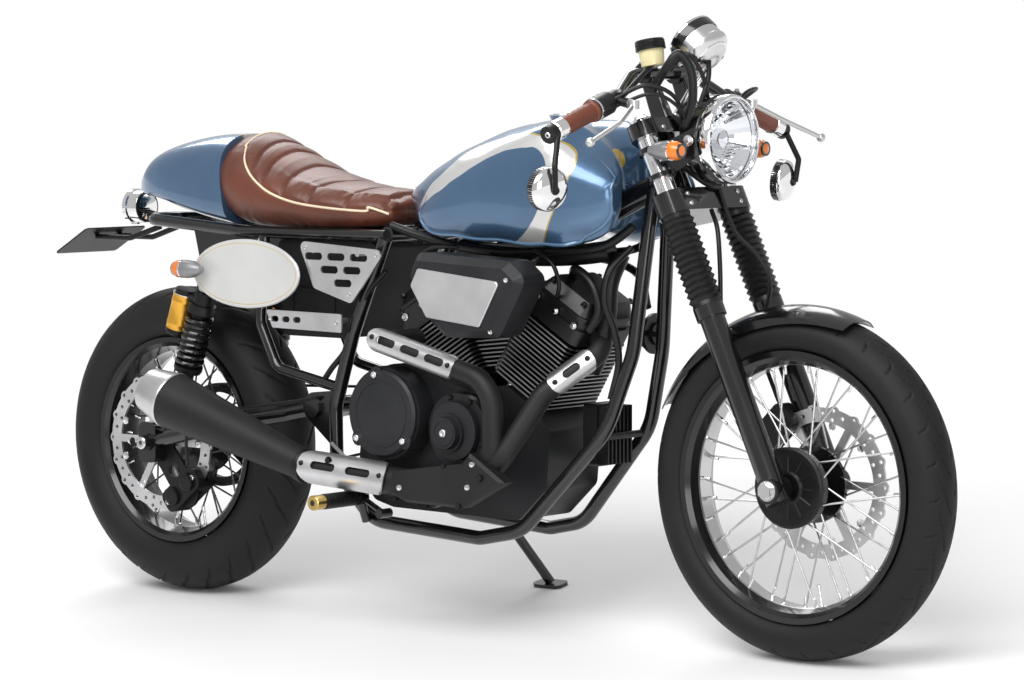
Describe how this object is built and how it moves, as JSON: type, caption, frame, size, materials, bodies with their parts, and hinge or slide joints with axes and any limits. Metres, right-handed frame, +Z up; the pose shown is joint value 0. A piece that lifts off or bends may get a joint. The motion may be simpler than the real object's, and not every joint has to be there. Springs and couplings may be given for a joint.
{
  "type": "cafe racer motorcycle",
  "caption": "Air-cooled V-twin cafe racer motorcycle on its side stand, with a low bar, a humped seat, rear shocks and a megaphone muffler.",
  "frame": {"origin": "middle of the parked motorcycle's bounding box, at ground level", "axes": "+X forward, +Y to the rider's left, +Z up; the motorcycle leans to its left on its side stand"},
  "size_m": [2.217, 0.814, 1.1834],
  "materials": {
    "frame_black": "gloss black enamel",
    "fork_black": "gloss black enamel",
    "tank_blue": "metallic blue lacquer",
    "engine_black": "satin black",
    "engine_grey": "satin dark grey",
    "matte_black_pipe": "matte heat-proof black",
    "alloy": "brushed",
    "steel": "brushed",
    "disc_steel": "ground",
    "chrome": "polished",
    "tyre_rubber": "matte",
    "black_rubber": "matte",
    "black_plastic": "fine matte",
    "brown_leather": "worn satin",
    "brown_grip": "ribbed satin",
    "clear_glass": "clear",
    "red_lens": "clear red",
    "board_silver": "satin silver white",
    "grey_metal": "satin grey"
  },
  "bodies": {
    "chassis": {"main_frame": "frame_black", "frame_cradle_right": "frame_black", "frame_cradle_left": "frame_black", "swingarm": "frame_black", "crankcase": "engine_grey", "front_cylinder": "engine_black", "rear_cylinder": "engine_black", "right_engine_cover": "engine_grey", "left_engine_cover": "engine_grey", "air_cleaner": "engine_grey", "air_cleaner_plate": "alloy", "exhaust_pipes": "matte_black_pipe", "exhaust_guards": "alloy", "muffler": "matte_black_pipe", "fuel_tank": "tank_blue", "seat": "brown_leather", "tail_cowl": "tank_blue", "tail_light": "red_lens", "plate_holder": "black_plastic", "rear_indicators": "grey_metal", "number_board_right": "board_silver", "number_board_left": "board_silver", "shock_right": "fork_black", "shock_left": "fork_black", "footrest_right": "frame_black", "footrest_left": "frame_black", "side_box": "black_plastic", "side_plates": "alloy", "horn": "black_plastic", "regulator": "engine_black", "drive_belt": "black_rubber", "rear_caliper": "engine_black", "rear_axle": "steel"},
    "steering": {"fork_yokes": "fork_black", "fork_stanchions": "chrome", "fork_sliders": "fork_black", "fork_gaiters": "black_rubber", "front_axle": "steel", "headlight_shell": "chrome", "headlight_lens": "clear_glass", "headlight_bracket": "fork_black", "speedometer": "chrome", "handlebar": "frame_black", "grip_right": "brown_grip", "grip_left": "brown_grip", "hand_control_right": "black_plastic", "hand_control_left": "black_plastic", "mirror_right": "black_plastic", "mirror_left": "black_plastic", "front_fender": "frame_black", "front_caliper": "engine_black"},
    "front_wheel": {"front_tyre": "tyre_rubber", "front_wheel": "frame_black", "front_disc": "disc_steel"},
    "rear_wheel": {"rear_tyre": "tyre_rubber", "rear_wheel": "frame_black", "rear_disc": "disc_steel", "rear_pulley": "engine_black"},
    "side_stand": {"side_stand": "frame_black"},
    "fuel_cap": {"fuel_cap": "alloy"}
  },
  "joints": [
    {"name": "steering_turn", "type": "hinge", "parent": "chassis", "child": "steering", "pos_m": [0.47525, 0.00151, 0.87772], "axis": [-0.4163, 0.1501, 0.8968], "range_deg": [-28, 28]},
    {"name": "front_wheel_spin", "type": "hinge", "parent": "steering", "child": "front_wheel", "pos_m": [0.78259, -0.09144, 0.32227], "axis": [0, 0.9863, -0.165], "continuous": true},
    {"name": "rear_wheel_spin", "type": "hinge", "parent": "chassis", "child": "rear_wheel", "pos_m": [-0.78741, -0.09221, 0.3177], "axis": [0, 0.9863, -0.165], "continuous": true},
    {"name": "side_stand_swing", "type": "hinge", "parent": "chassis", "child": "side_stand", "pos_m": [-0.07979, 0.03208, 0.19515], "axis": [0.2005, 0.8292, 0.5218], "range_deg": [0, 80]},
    {"name": "fuel_cap_twist", "type": "hinge", "parent": "chassis", "child": "fuel_cap", "pos_m": [0.22259, 0.01803, 0.97642], "axis": [0, 0.165, 0.9863], "range_deg": [0, 90]}
  ]
}
